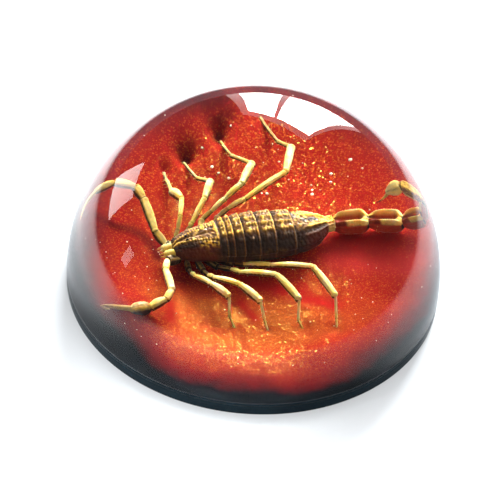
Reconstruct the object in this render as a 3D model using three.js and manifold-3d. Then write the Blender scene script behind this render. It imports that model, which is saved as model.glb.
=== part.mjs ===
// A dried scorpion sealed in a polished clear resin dome, over a poured glitter layer and a black base.
// Millimetres, +Z up. The origin is the centre of the flat underside. The scorpion's head points to -X
// and its tail to +X. The clear resin is parted at PARTING_Z, so that the scorpion lies in a pocket.
import * as THREE from "three";
import { mergeVertices } from "three/addons/utils/BufferGeometryUtils.js";
import Module from "manifold-3d";

const wasm = await Module();
wasm.setup();

// Dome, base and glitter layer
const DOME_RADIUS = 40;
const WALL_HEIGHT = 2; // short straight wall below the half ball
const DOME_SIDES = 44;
const DOME_RINGS = 9;
const PARTING_Z = 9.2;
const LOWER_WALL_Z = 6.2; // middle edge in the wall of the lower clear half
const BASE_TOP_Z = 2.4;
const BASE_CHAMFER = 0.5;
const POCKET_GAP = 0.4;
const HULL_GAP = 1.0; // room round the trunk, measured at the corners of the pocket's eight sides

// Relief of the glitter layer's top: flat in the middle, lower towards the wall, with poured waves
const RELIEF = {
  middle: 5.8,
  wall: 3.1,
  fallStart: 25,
  fallEnd: 38.5,
  waves: [
    { height: 0.22, x: 0.21, y: 0.12, phase: 0.4 },
    { height: 0.18, x: -0.13, y: 0.24, phase: 2.1 },
    { height: 0.1, x: 0.34, y: 0.29, phase: 4.0 },
  ],
  swell: { x: -21.5, y: -17.4, reach: 4.6, height: 0.9 }, // over the half-buried claw
};
const RELIEF_RADII = [38, 33, 27, 20, 11];

// Spine of the head and trunk, and its half width and half height by distance from the front
const SPINE = [
  [-13.4, -4.5, 8.6],
  [-9.9, -3.3, 8.9],
  [-6.1, -2.2, 9.1],
  [-0.8, -0.8, 9.2],
  [5.9, 1.3, 9.0],
  [9.2, 3.1, 8.6],
  [10.8, 4.3, 8.3],
];
const TRUNK_GIRTH = [
  { s: 0.9, width: 1.3, height: 0.8 },
  { s: 1.5, width: 1.9, height: 1.5 },
  { s: 3.7, width: 2.8, height: 2.1 },
  { s: 7.6, width: 3.5, height: 2.5 },
  { s: 10, width: 4.0, height: 2.75 },
  { s: 13.5, width: 4.3, height: 2.85 },
  { s: 17, width: 4.1, height: 2.8 },
  { s: 20.5, width: 3.6, height: 2.45 },
  { s: 23.5, width: 2.7, height: 2.0 },
  { s: 25.8, width: 1.4, height: 1.3 },
];
const CARAPACE_RINGS = [0.9, 1.5, 2.6, 4.2, 6.0, 7.9];
const TERGITE_STARTS = [8.1, 9.4, 11.0, 12.8, 14.8, 17.4, 20.4];
const TRUNK_END = 25.8;
const TERGITE_STEP = 0.2; // how far each back plate stands over the next
const TERGITE_RIM = 0.35; // length of the drop from one plate to the next
const TRUNK_SIDES = 16;
const KEEL_HEIGHT = 0.16;
const BELLY_SHARE = 0.85; // depth of the belly against the height of the back
const JAWS = { rootShare: 0.06, apart: 0.7, reach: 1.2, shape: [[0, 0.7], [0.6, 0.65], [1, 0.25]] };
const BREASTPLATE = { rings: [4, 6.5, 9.5], lift: 0.35, widthShare: 0.7, height: 0.65 };

// Joints of each leg: coxa, trochanter, femur, patella, tibia, basitarsus, telotarsus and claw tip
const LEGS = {
  right: [
    [[-10.4, -2.6, 7.3], [-12.0, -1.2, 8.0], [-11.7, 0.0, 9.0], [-11.5, 1.6, 10.2],
      [-11.3, 4.9, 10.4], [-12.4, 7.7, 8.6], [-12.7, 11.3, 6.6], [-12.8, 13.8, 5.2]],
    [[-9.4, -2.0, 7.3], [-10.3, 0.3, 8.0], [-9.9, 0.9, 8.7], [-9.6, 1.4, 9.1],
      [-7.9, 5.2, 10.6], [-7.1, 9.0, 10.0], [-8.8, 10.9, 8.2], [-10.1, 16.0, 4.9]],
    [[-8.2, -1.4, 7.3], [-8.1, 3.2, 8.0], [-6.8, 4.1, 9.0], [-4.9, 5.9, 10.0],
      [-2.7, 8.1, 11.0], [-1.4, 12.8, 10.0], [-4.2, 15.6, 7.8], [-5.4, 19.3, 5.4]],
    [[-7.0, -0.8, 7.3], [-5.7, 4.1, 8.0], [-4.4, 4.9, 9.0], [-2.0, 6.2, 10.0],
      [3.4, 10.8, 11.2], [3.7, 16.4, 9.6], [1.8, 18.1, 8.2], [-0.7, 23.2, 5.1]],
  ],
  left: [
    [[-10.2, -5.0, 7.2], [-9.9, -6.9, 7.3], [-9.5, -7.8, 7.4], [-9.0, -8.7, 7.7],
      [-6.5, -11.9, 9.2], [-3.5, -14.2, 8.8], [-3.2, -16.0, 6.4], [-2.2, -17.5, 4.9]],
    [[-8.6, -4.8, 7.2], [-7.6, -7.2, 7.5], [-6.9, -8.4, 7.8], [-6.1, -9.4, 8.4],
      [-2.0, -12.3, 10.0], [1.6, -15.2, 9.2], [2.4, -16.1, 6.4], [3.2, -17.6, 4.9]],
    [[-7.4, -4.3, 7.2], [-5.4, -6.0, 7.5], [-3.4, -6.8, 8.0], [-2.2, -7.7, 8.4],
      [3.7, -10.0, 10.6], [7.8, -14.2, 9.4], [7.9, -15.9, 6.6], [9.2, -17.3, 4.9]],
    [[-6.2, -3.8, 7.2], [-3.0, -4.9, 7.4], [-1.6, -5.0, 7.6], [2.6, -5.5, 8.4],
      [9.3, -7.7, 10.8], [13.6, -12.7, 9.4], [14.1, -14.9, 6.6], [14.6, -17.2, 4.9]],
  ],
};
const LEG_GIRTH = [0.85, 0.6, 0.6, 0.62, 0.72, 0.38, 0.27];
const LEG_SIDES = 6;
const CLAW_GIRTH = 0.1;
const NECK = 0.72; // girth of a joint against the thinner segment at it
const BULGE_AT = 0.42; // where along a segment its girth is greatest

// Arms with pincers: trochanter, femur, the bowed patella in two parts, wrist, hand and knuckle
const ARMS = {
  right: {
    joints: [[-11.6, -3.9, 8.0], [-13.7, -3.1, 8.6], [-15.3, -1.6, 9.5], [-17.1, 4.6, 10.2],
      [-18.4, 6.9, 10.3], [-21.8, 7.9, 10.1], [-26.0, 6.7, 9.8]],
    fingers: [[-25.4, 6.9, 9.8], [-28.6, 4.6, 9.3], [-30.3, 1.6, 8.8]],
  },
  left: {
    joints: [[-11.4, -5.3, 7.9], [-13.4, -6.5, 8.4], [-13.9, -9.4, 9.1], [-13.0, -14.5, 9.4],
      [-14.0, -16.4, 8.9], [-16.6, -17.4, 7.6], [-20.2, -17.7, 6.5]],
    fingers: [[-19.7, -17.7, 6.6], [-23.4, -17.2, 6.0], [-26.6, -16.4, 5.5]],
  },
};
const ARM_GIRTH = [0.9, 0.75, 0.82, 0.82, 0.88, 1.0];
const ARM_SIDES = 8;
const KNUCKLE_GIRTH = 0.6;
const FINGER_GIRTH = 0.45;
const FINGER_SPREAD = [0.3, 0.5, 0.35]; // half the gap between the two fingers, from knuckle to tip

// Tail: five segments that curl up and back over themselves, then the sting
const TAIL = [
  [10.8, 4.3, 8.3],
  [16.0, 5.6, 8.2],
  [21.6, 6.2, 8.4],
  [26.8, 6.8, 10.3],
  [29.3, 7.2, 15.8],
  [23.1, 7.0, 17.2],
];
const TAIL_GIRTH = [1.6, 1.55, 1.5, 1.45, 1.3];
// Girth and depth of the furrow in the back of a tail segment, by share of its length
const TAIL_SHAPE = [
  [-0.07, 0.62, 0.1],
  [0.1, 0.86, 0.3],
  [0.5, 1, 0.55],
  [0.88, 0.95, 0.3],
  [1.03, 0.66, 0.1],
];
// Half outline of a tail segment across, from its back down to its belly
const TAIL_OUTLINE = [[-0.6, 1], [-1, 0.35], [-0.95, -0.4], [-0.5, -0.95]];
const TAIL_KEEL = -0.9;
const TAIL_SIDE = new THREE.Vector3(0, 1, 0);
const TAIL_OVERRUN = 0.9;
const BULB = { end: [20.0, 6.2, 15.2], girth: 1.25 };
const BULB_SHAPE = [[-0.12, 0.5], [0.12, 0.85], [0.4, 1], [0.7, 0.85], [1, 0.4]];
const STING = [[20.4, 6.3, 15.4], [19.3, 5.4, 14.5], [18.1, 4.0, 14.3]];
const STING_GIRTH = 0.45;

const point = ([x, y, z]) => new THREE.Vector3(x, y, z);
const UP = new THREE.Vector3(0, 0, 1);

// ---- Shared shape tools ----

// A closed geometry through rings of points; each ring turns right-handed about the direction of travel.
function loft(rings) {
  const sides = rings[0].length;
  const last = rings.length - 1;
  const middle = (ring) => ring.reduce((sum, p) => sum.add(p), new THREE.Vector3()).divideScalar(sides);
  const points = [...rings.flat(), middle(rings[0]), middle(rings[last])];
  const faces = [];
  for (let i = 0; i < sides; i++) {
    const j = (i + 1) % sides;
    for (let k = 0; k < last; k++) {
      const [a, b] = [k * sides + i, k * sides + j];
      faces.push(a, b, b + sides, a, b + sides, a + sides);
    }
    faces.push(points.length - 2, j, i, points.length - 1, last * sides + i, last * sides + j);
  }
  return new THREE.BufferGeometry().setFromPoints(points).setIndex(faces);
}

// Side and up directions across a line of travel.
function across(travel, sideHint) {
  const side = sideHint ? sideHint.clone() : new THREE.Vector3().crossVectors(UP, travel);
  side.addScaledVector(travel, -side.dot(travel)).normalize();
  return { side, up: new THREE.Vector3().crossVectors(travel, side) };
}

// An oval ring of points round a centre.
function oval(centre, { side, up }, width, height, sides) {
  return Array.from({ length: sides }, (_, i) => {
    const turn = ((i + 0.5) / sides) * 2 * Math.PI;
    return centre
      .clone()
      .addScaledVector(side, Math.cos(turn) * width)
      .addScaledVector(up, Math.sin(turn) * height);
  });
}

// A barrel between two points: its girth along the length is a list of [share of length, girth].
function barrel(from, to, girths, sides) {
  const travel = to.clone().sub(from);
  const frame = across(travel.clone().normalize());
  return loft(
    girths.map(([share, girth]) =>
      oval(from.clone().addScaledVector(travel, share), frame, girth, girth, sides),
    ),
  );
}

// One skin along a jointed line: a ring at each place, mitred at the bends and in line with the one before.
function skin(places, girths, sides, mitre = 0) {
  const rings = [];
  let side;
  places.forEach((place, k) => {
    const before = place.clone().sub(places[Math.max(0, k - 1)]).normalize();
    const after = places[Math.min(places.length - 1, k + 1)].clone().sub(place).normalize();
    const travel = before.clone().add(after).normalize();
    const frame = across(travel, side);
    side = frame.side;
    const halfBend = k > 0 && k + 1 < places.length ? before.angleTo(after) / 2 : 0;
    const girth = girths[k] * (1 + mitre * (1 / Math.cos(halfBend) - 1));
    rings.push(oval(place, frame, girth, girth, sides));
  });
  return loft(rings);
}

// A limb of bulged segments between joints, in one skin with a neck at each joint.
function limb(joints, girths, sides, endGirth) {
  const places = [];
  const swells = [];
  joints.slice(1).forEach((to, k) => {
    const from = joints[k];
    places.push(point(from), point(from).lerp(point(to), BULGE_AT));
    swells.push(NECK * Math.min(girths[k], girths[Math.max(0, k - 1)]), girths[k]);
  });
  places.push(point(joints.at(-1)));
  swells.push(endGirth);
  return skin(places, swells, sides);
}

// A tube along a smooth curve through points, tapered by a girth function of 0 to 1.
function curvedTube(points, girthAt, steps, sides) {
  const curve = new THREE.CatmullRomCurve3(points.map(point));
  const shares = Array.from({ length: steps + 1 }, (_, k) => k / steps);
  return skin(shares.map((t) => curve.getPointAt(t)), shares.map(girthAt), sides);
}

function solid(geometry) {
  const bare = geometry.clone();
  bare.deleteAttribute("normal");
  bare.deleteAttribute("uv");
  const merged = mergeVertices(bare, 1e-4);
  return new wasm.Manifold(
    new wasm.Mesh({
      numProp: 3,
      vertProperties: new Float32Array(merged.attributes.position.array),
      triVerts: new Uint32Array(merged.index.array),
    }),
  );
}

const joined = (geometries) => geometries.map(solid).reduce((all, next) => all.add(next));

// The largest body of a solid; slivers that a cut leaves are dropped.
function largest(made) {
  return made.decompose().reduce((best, next) => (next.volume() > best.volume() ? next : best));
}

function geometryOf(made) {
  const { numProp, numVert, vertProperties, triVerts } = made.getMesh();
  const places = new Float32Array(numVert * 3);
  for (let i = 0; i < numVert; i++) {
    places.set(vertProperties.subarray(i * numProp, i * numProp + 3), i * 3);
  }
  const geometry = new THREE.BufferGeometry();
  geometry.setAttribute("position", new THREE.BufferAttribute(places, 3));
  geometry.setIndex(new THREE.BufferAttribute(new Uint32Array(triVerts), 1));
  geometry.computeVertexNormals();
  return geometry;
}

// ---- Dome, glitter layer and base ----

function domeRadiusAt(z) {
  return z <= WALL_HEIGHT ? DOME_RADIUS : Math.sqrt(DOME_RADIUS ** 2 - (z - WALL_HEIGHT) ** 2);
}

function reliefAt(x, y) {
  const { middle, wall, fallStart, fallEnd, waves, swell } = RELIEF;
  const fall = THREE.MathUtils.smoothstep(Math.hypot(x, y), fallStart, fallEnd);
  const away = Math.hypot(x - swell.x, y - swell.y) / swell.reach;
  let height = swell.height * Math.exp(-away * away);
  for (const wave of waves) height += wave.height * Math.sin(wave.x * x + wave.y * y + wave.phase);
  return middle + (wall - middle) * fall + height * (1 - fall);
}

// A round block: walls that follow the dome up through a list of heights, and a floor and a roof that are
// each flat or follow the relief.
function roundBlock(wallHeights, floorRelief, roofRelief) {
  const points = [];
  const faces = [];
  const next = (i) => (i + 1) % DOME_SIDES;
  const ringOf = (radius, heightAt) => {
    const start = points.length;
    for (let i = 0; i < DOME_SIDES; i++) {
      const turn = (i / DOME_SIDES) * 2 * Math.PI;
      const [x, y] = [radius * Math.cos(turn), radius * Math.sin(turn)];
      points.push(new THREE.Vector3(x, y, heightAt(x, y)));
    }
    return start;
  };
  // Triangle facing up, or down for a floor
  const face = (up, a, b, c) => (up ? faces.push(a, b, c) : faces.push(a, c, b));
  const cover = (up, wall, z, relief) => {
    const heightAt = relief ? reliefAt : () => z;
    let outer = wall;
    for (const radius of relief ? RELIEF_RADII : []) {
      const inner = ringOf(radius, heightAt);
      for (let i = 0; i < DOME_SIDES; i++) {
        const j = next(i);
        face(up, outer + i, outer + j, inner + i);
        face(up, outer + j, inner + j, inner + i);
      }
      outer = inner;
    }
    const centre = points.push(new THREE.Vector3(0, 0, heightAt(0, 0))) - 1;
    for (let i = 0; i < DOME_SIDES; i++) face(up, centre, outer + i, outer + next(i));
  };
  const walls = wallHeights.map((z) => ringOf(domeRadiusAt(z), () => z));
  for (let k = 0; k + 1 < walls.length; k++) {
    const [low, high] = [walls[k], walls[k + 1]];
    for (let i = 0; i < DOME_SIDES; i++) {
      const j = next(i);
      faces.push(low + i, low + j, high + j, low + i, high + j, high + i);
    }
  }
  cover(false, walls[0], wallHeights[0], floorRelief);
  cover(true, walls.at(-1), wallHeights.at(-1), roofRelief);
  return new THREE.BufferGeometry().setFromPoints(points).setIndex(faces);
}

function glitterLayer() {
  return roundBlock([BASE_TOP_Z, RELIEF.wall], false, true);
}

function clearLower() {
  return roundBlock([RELIEF.wall, LOWER_WALL_Z, PARTING_Z], true, false);
}

function clearUpper() {
  const low = Math.asin((PARTING_Z - WALL_HEIGHT) / DOME_RADIUS);
  const profile = [new THREE.Vector2(0, PARTING_Z)];
  for (let k = 0; k <= DOME_RINGS; k++) {
    const rise = low + (k / DOME_RINGS) * (Math.PI / 2 - low);
    const radius = k === DOME_RINGS ? 0 : DOME_RADIUS * Math.cos(rise);
    profile.push(new THREE.Vector2(radius, WALL_HEIGHT + DOME_RADIUS * Math.sin(rise)));
  }
  return new THREE.LatheGeometry(profile, DOME_SIDES).rotateX(Math.PI / 2);
}

function blackBase() {
  const profile = [
    [0, 0],
    [DOME_RADIUS - BASE_CHAMFER, 0],
    [DOME_RADIUS, BASE_CHAMFER],
    [domeRadiusAt(BASE_TOP_Z), BASE_TOP_Z],
    [0, BASE_TOP_Z],
  ].map(([r, z]) => new THREE.Vector2(r, z));
  return new THREE.LatheGeometry(profile, DOME_SIDES).rotateX(Math.PI / 2);
}

// ---- Scorpion ----

const spine = new THREE.CatmullRomCurve3(SPINE.map(point));
const spineLength = spine.getLength();

function girthAt(s) {
  const table = TRUNK_GIRTH;
  const k = Math.max(1, table.findIndex((row) => row.s >= s));
  const [a, b] = [table[k - 1], table[k]];
  const share = THREE.MathUtils.clamp((s - a.s) / (b.s - a.s), 0, 1);
  return {
    width: THREE.MathUtils.lerp(a.width, b.width, share),
    height: THREE.MathUtils.lerp(a.height, b.height, share),
  };
}

// Ring of the trunk at distance s: rounded back with keels, flatter belly.
function trunkRing(s, swell) {
  const share = Math.min(1, s / spineLength);
  const { side, up } = across(spine.getTangentAt(share));
  const centre = spine.getPointAt(share);
  const { width, height } = girthAt(s);
  return Array.from({ length: TRUNK_SIDES }, (_, i) => {
    const turn = (i / TRUNK_SIDES) * 2 * Math.PI;
    const [c, n] = [Math.cos(turn), Math.sin(turn)];
    const keel = n > 0.5 && i % 2 === 1 ? KEEL_HEIGHT : 0;
    const rise = n > 0 ? n * (height + swell) + keel : -BELLY_SHARE * height * Math.abs(n) ** 0.7;
    return centre.clone().addScaledVector(side, c * (width + swell)).addScaledVector(up, rise);
  });
}

function trunk() {
  const rings = CARAPACE_RINGS.map((s) => trunkRing(s, 0));
  TERGITE_STARTS.forEach((start, i) => {
    const end = TERGITE_STARTS[i + 1] ?? TRUNK_END;
    rings.push(trunkRing(start, -TERGITE_STEP / 2));
    rings.push(trunkRing(end - TERGITE_RIM, TERGITE_STEP / 2));
  });
  rings.push(trunkRing(TRUNK_END, 0));
  return loft(rings);
}

// The two small pincer mouthparts at the front of the head; also the line that the pocket follows there.
const ahead = spine.getTangentAt(0).negate();
const jawTip = point(SPINE[0]).addScaledVector(ahead, JAWS.reach);

function jaws() {
  const { side } = across(spine.getTangentAt(0));
  return [-JAWS.apart, JAWS.apart].map((apart) => {
    const root = spine.getPointAt(JAWS.rootShare).addScaledVector(side, apart);
    return barrel(root, jawTip.clone().addScaledVector(side, apart), JAWS.shape, 6);
  });
}

// Breastplate block between the leg roots, a little below the belly.
function breastplate() {
  const rings = BREASTPLATE.rings.map((s) => {
    const share = s / spineLength;
    const frame = across(spine.getTangentAt(share));
    const { width, height } = girthAt(s);
    const drop = BREASTPLATE.lift - BELLY_SHARE * height;
    const centre = spine.getPointAt(share).addScaledVector(frame.up, drop);
    return oval(centre, frame, width * BREASTPLATE.widthShare, BREASTPLATE.height, 8);
  });
  return loft(rings);
}

const leg = (joints) => limb(joints, LEG_GIRTH, LEG_SIDES, CLAW_GIRTH);

function arm({ joints, fingers }) {
  const pieces = [limb(joints, ARM_GIRTH, ARM_SIDES, KNUCKLE_GIRTH)];
  for (const split of [-1, 1]) {
    const parted = fingers.map(([x, y, z], i) => [x, y, z + split * FINGER_SPREAD[i]]);
    pieces.push(curvedTube(parted, (t) => FINGER_GIRTH * (1 - 0.75 * t), 4, 6));
  }
  return pieces;
}

// Ring of a tail segment: two crests along its back with a furrow between, and a keeled belly.
function tailRing(centre, { side, up }, girth, furrow) {
  const mirrored = TAIL_OUTLINE.map(([a, b]) => [-a, b]).reverse();
  const outline = [[0, 1 - furrow], ...TAIL_OUTLINE, [0, TAIL_KEEL], ...mirrored];
  const place = (a, b) => centre.clone().addScaledVector(side, a * girth).addScaledVector(up, b * girth);
  return outline.map(([a, b]) => place(a, b));
}

function tailSegment(from, to, width) {
  const travel = to.clone().sub(from);
  const frame = across(travel.clone().normalize(), TAIL_SIDE);
  return loft(
    TAIL_SHAPE.map(([share, girth, furrow]) =>
      tailRing(from.clone().addScaledVector(travel, share), frame, girth * width, furrow),
    ),
  );
}

function tail() {
  const joints = TAIL.map(point);
  const pieces = joints.slice(1).map((to, k) => tailSegment(joints[k], to, TAIL_GIRTH[k]));
  const bulb = BULB_SHAPE.map(([share, girth]) => [share, girth * BULB.girth]);
  pieces.push(barrel(joints.at(-1), point(BULB.end), bulb, 10));
  pieces.push(curvedTube(STING, (t) => STING_GIRTH * (1 - 0.85 * t), 4, 6));
  return pieces;
}

function scorpion() {
  const legs = [...LEGS.right, ...LEGS.left].map(leg);
  const arms = [...arm(ARMS.right), ...arm(ARMS.left)];
  return joined([trunk(), breastplate(), ...jaws(), ...legs, ...arms, ...tail()]);
}

// ---- Pocket: square grooves along the limbs and a hull round the trunk, clear of the scorpion ----

function groove(joints, girthOf, overrun = 1.3 * POCKET_GAP) {
  const places = joints.map(point);
  const last = places.length - 1;
  const reach = places.map((_, k) => {
    const girth = Math.max(girthOf(Math.max(0, k - 1)), girthOf(Math.min(k, last - 1)));
    return (girth + POCKET_GAP) * Math.SQRT2;
  });
  const away = (from, inner) => from.clone().sub(inner).normalize().multiplyScalar(overrun);
  places[last].add(away(places[last], places[last - 1]));
  places[0].add(away(places[0], places[1]));
  return skin(places, reach, 4, 1);
}

// The groove of a leg runs straight past its short second joint.
function legGroove(joints) {
  const girths = LEG_GIRTH.filter((_, k) => k !== 2);
  return groove(joints.filter((_, k) => k !== 2), (k) => girths[k]);
}

// Ring of the pocket round the trunk, which also clears the breastplate.
function pocketRing(s) {
  const share = Math.min(1, s / spineLength);
  const { width, height } = girthAt(s);
  const frame = across(spine.getTangentAt(share));
  const depth = -BELLY_SHARE * height - 2 * POCKET_GAP;
  return oval(spine.getPointAt(share), frame, width + HULL_GAP, height + HULL_GAP, 8).map((p) => {
    const below = depth - p.clone().sub(spine.getPointAt(share)).dot(frame.up);
    return below > 0 ? p.addScaledVector(frame.up, below) : p;
  });
}

const POCKET_RINGS = [0, 1.5, 3.7, 7.6, 13, 19, 23.5, TRUNK_END];

function pocket() {
  const pieces = [loft(POCKET_RINGS.map(pocketRing))];
  pieces.push(...[...LEGS.right, ...LEGS.left].map(legGroove));
  for (const { joints, fingers } of Object.values(ARMS)) {
    pieces.push(groove(joints, (k) => ARM_GIRTH[k]));
    pieces.push(groove(fingers, () => FINGER_GIRTH + FINGER_SPREAD[1]));
  }
  TAIL.slice(1).forEach((to, k) => pieces.push(groove([TAIL[k], to], () => TAIL_GIRTH[k], TAIL_OVERRUN)));
  pieces.push(groove([TAIL.at(-1), BULB.end], () => BULB.girth));
  pieces.push(groove(STING, () => STING_GIRTH));
  pieces.push(groove([SPINE[0], jawTip.toArray()], () => 2 * JAWS.apart));
  return joined(pieces);
}

// ---- Scene graph ----

const MATERIALS = {
  clear: { color: 0xe8eef0, roughness: 0.05, metalness: 0, transparent: true, opacity: 0.3 },
  glitter: { color: 0xd2451c, roughness: 0.4, metalness: 0.35 },
  black: { color: 0x0c0f12, roughness: 0.25, metalness: 0 },
  scorpion: { color: 0xb88a35, roughness: 0.45, metalness: 0 },
};

const part = new THREE.Group();

function addNode(name, geometry, look) {
  const mesh = new THREE.Mesh(geometry, new THREE.MeshStandardMaterial(MATERIALS[look]));
  mesh.name = name;
  part.add(mesh);
}

const hollow = pocket();
const hollowed = (geometry) => geometryOf(largest(solid(geometry).subtract(hollow)));

addNode("black_base", blackBase(), "black");
addNode("glitter_layer", hollowed(glitterLayer()), "glitter");
addNode("clear_dome_lower", hollowed(clearLower()), "clear");
addNode("clear_dome_upper", hollowed(clearUpper()), "clear");
addNode("scorpion", geometryOf(scorpion()), "scorpion");

export default part;
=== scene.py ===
import math
import bpy
import numpy as np
from mathutils import Matrix, Vector


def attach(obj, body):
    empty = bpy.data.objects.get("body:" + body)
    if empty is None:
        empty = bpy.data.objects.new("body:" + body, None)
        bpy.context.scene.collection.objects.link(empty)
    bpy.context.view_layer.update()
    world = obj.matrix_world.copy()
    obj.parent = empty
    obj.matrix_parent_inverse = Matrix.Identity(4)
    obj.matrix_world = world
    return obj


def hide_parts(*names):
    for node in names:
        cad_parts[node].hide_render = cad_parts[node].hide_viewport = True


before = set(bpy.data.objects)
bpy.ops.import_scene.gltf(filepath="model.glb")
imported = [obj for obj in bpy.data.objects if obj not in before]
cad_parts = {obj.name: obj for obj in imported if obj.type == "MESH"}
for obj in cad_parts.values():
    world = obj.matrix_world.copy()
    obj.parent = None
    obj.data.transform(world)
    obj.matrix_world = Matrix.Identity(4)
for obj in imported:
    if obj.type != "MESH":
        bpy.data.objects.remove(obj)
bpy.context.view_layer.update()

MM = 0.001
rng = np.random.default_rng(7)
scene = bpy.context.scene

# ---------------------------------------------------------------- sizes, in mm, as in the CAD model
DOME_R, WALL = 40.0, 2.0
BASE_TOP, RIM_Z = 2.4, 3.1
# The layer is MIDDLE high, and falls to RIM_Z between these two radii
MIDDLE, FALL_START, FALL_END = 5.8, 25.0, 38.5
# Its gentle waves: height, turns along x and y in radians per mm, phase
WAVES = [(0.22, 0.21, 0.12, 0.4), (0.18, -0.13, 0.24, 2.1), (0.10, 0.34, 0.29, 4.0)]
# A mound under the left hand: x, y, reach, height
SWELL = (-21.5, -17.4, 4.6, 1.35)
# Where the layer rises to the body that was laid on it: from, to
BED = [((-11.0, -3.6), (8.5, 2.6)), ((8.5, 2.6), (22.5, 6.3))]
BED_RISE, BED_REACH = 0.75, 2.4
# Hollows where the clear resin crept down the leg tips: x, y, reach across, reach along Y, depth
PITS = [
    (-5.6, 20.3, 0.9, 1.5, 1.5), (-5.6, 21.6, 2.2, 2.4, 0.7), (-9.7, 16.6, 1.0, 1.2, 1.5),
    (-10.2, 17.6, 2.0, 2.0, 0.6), (-12.6, 14.3, 0.7, 1.2, 0.7), (-0.8, 23.8, 1.3, 1.8, 0.8),
    (-2.4, -17.4, 1.1, 1.5, 0.2), (3.1, -17.5, 1.1, 1.5, 0.3), (9.0, -17.3, 1.3, 1.9, 0.35),
    (14.5, -17.2, 1.2, 1.7, 0.3),
]
# Painted shadow of the right arm, a dark band in the pigment beside it: x, y along it
ARM_SHADOW = [(-24.4, 5.0), (-20.8, 3.1), (-18.1, 2.5), (-16.5, 1.6), (-15.0, -0.3), (-14.1, -3.2)]
ARM_SHADOW_REACH, ARM_SHADOW_SHARE = 1.15, 0.85
# Painted light: a patch beside the tail, in its shadow, where the pigment is made lighter: x from and to, y,
# reach, strength
GLOW_FROM, GLOW_TO, GLOW_Y, GLOW_REACH, GLOW_SHARE = 12.5, 22.5, 1.2, 3.4, 0.75
# Patches of painted shade, in the tail's shadow and on slopes turned from the window, plain red and bare of
# flakes: from, to, half width
SHADED_PATCHES = [
    ((-1.1, -7.0), (7.5, -8.6), 1.5), ((8.3, -9.3), (13.4, -10.9), 1.3),
    ((-12.9, -14.0), (-12.8, -18.0), 1.1), ((1.0, -15.0), (-1.5, -11.5), 0.8),
    ((11.5, 3.4), (20.5, 4.6), 1.2),
]
# The scorpion. Its back line from the jaws to the first joint of the tail
SPINE = [(-13.4, -4.5, 8.6), (-9.9, -3.3, 8.9), (-6.1, -2.2, 9.1), (-0.8, -0.8, 9.2), (5.9, 1.3, 9.0),
         (9.2, 3.1, 8.6), (10.8, 4.3, 8.3)]
TRUNK_END = 25.8
# Distance along the back line, half width, half height
GIRTH = [
    (0.9, 1.3, 0.8), (1.5, 1.9, 1.5), (3.7, 2.8, 2.1), (7.6, 3.5, 2.5), (10, 4.0, 2.75), (13.5, 4.3, 2.85),
    (17, 4.1, 2.8), (20.5, 3.5, 2.4), (22.6, 2.7, 2.0), (24.2, 1.5, 1.4), (24.7, 1.05, 1.0),
    (TRUNK_END, 1.1, 1.05),
]
PLATES = [8.0, 9.05, 10.1, 11.6, 13.8, 16.3, 19.2, TRUNK_END]  # where each back plate starts, and the end
# The joints of each leg from the body to the claws
LEGS = {
    "right": [
        [(-10.4, -2.6, 7.3), (-12.0, -1.2, 8.0), (-11.7, 0.0, 9.0), (-11.5, 1.6, 10.2), (-11.3, 4.9, 10.4),
         (-12.4, 7.7, 8.6), (-12.7, 11.3, 6.6), (-12.8, 13.8, 5.2)],
        [(-9.4, -2.0, 7.3), (-10.3, 0.3, 8.0), (-9.9, 0.9, 8.7), (-9.6, 1.4, 9.1), (-7.9, 5.2, 10.6),
         (-7.1, 9.0, 10.0), (-8.8, 10.9, 8.2), (-10.1, 16.0, 4.9)],
        [(-8.2, -1.4, 7.3), (-8.1, 3.2, 8.0), (-6.8, 4.1, 9.0), (-4.9, 5.9, 10.0), (-2.7, 8.1, 11.0),
         (-1.4, 12.8, 10.0), (-4.2, 15.6, 7.8), (-5.4, 19.3, 5.4)],
        [(-7.0, -0.8, 7.3), (-5.7, 4.1, 8.0), (-4.4, 4.9, 9.0), (-2.0, 6.2, 10.0), (3.4, 10.8, 11.2),
         (3.7, 16.4, 9.6), (1.8, 18.1, 8.2), (-0.7, 23.2, 5.1)],
    ],
    "left": [
        [(-10.2, -5.0, 7.2), (-9.9, -6.9, 7.3), (-9.5, -7.8, 7.4), (-9.0, -8.7, 7.7), (-6.5, -11.9, 9.2),
         (-3.5, -14.2, 8.8), (-3.2, -16.0, 6.4), (-2.2, -17.5, 4.9)],
        [(-8.6, -4.8, 7.2), (-7.6, -7.2, 7.5), (-6.9, -8.4, 7.8), (-6.1, -9.4, 8.4), (-2.0, -12.3, 10.0),
         (1.6, -15.2, 9.2), (2.4, -16.1, 6.4), (3.2, -17.6, 4.9)],
        [(-7.4, -4.3, 7.2), (-5.4, -6.0, 7.5), (-3.4, -6.8, 8.0), (-2.2, -7.7, 8.4), (3.7, -10.0, 10.6),
         (7.8, -14.2, 9.4), (7.9, -15.9, 6.6), (9.2, -17.3, 4.9)],
        [(-6.2, -3.8, 7.2), (-3.0, -4.9, 7.4), (-1.6, -5.0, 7.6), (2.6, -5.5, 8.4), (9.3, -7.7, 10.8),
         (13.6, -12.7, 9.4), (14.1, -14.9, 6.6), (14.6, -17.2, 4.9)],
    ],
}
LEG_GIRTH = [0.85, 0.6, 0.62, 0.62, 0.74, 0.38, 0.27]
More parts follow.
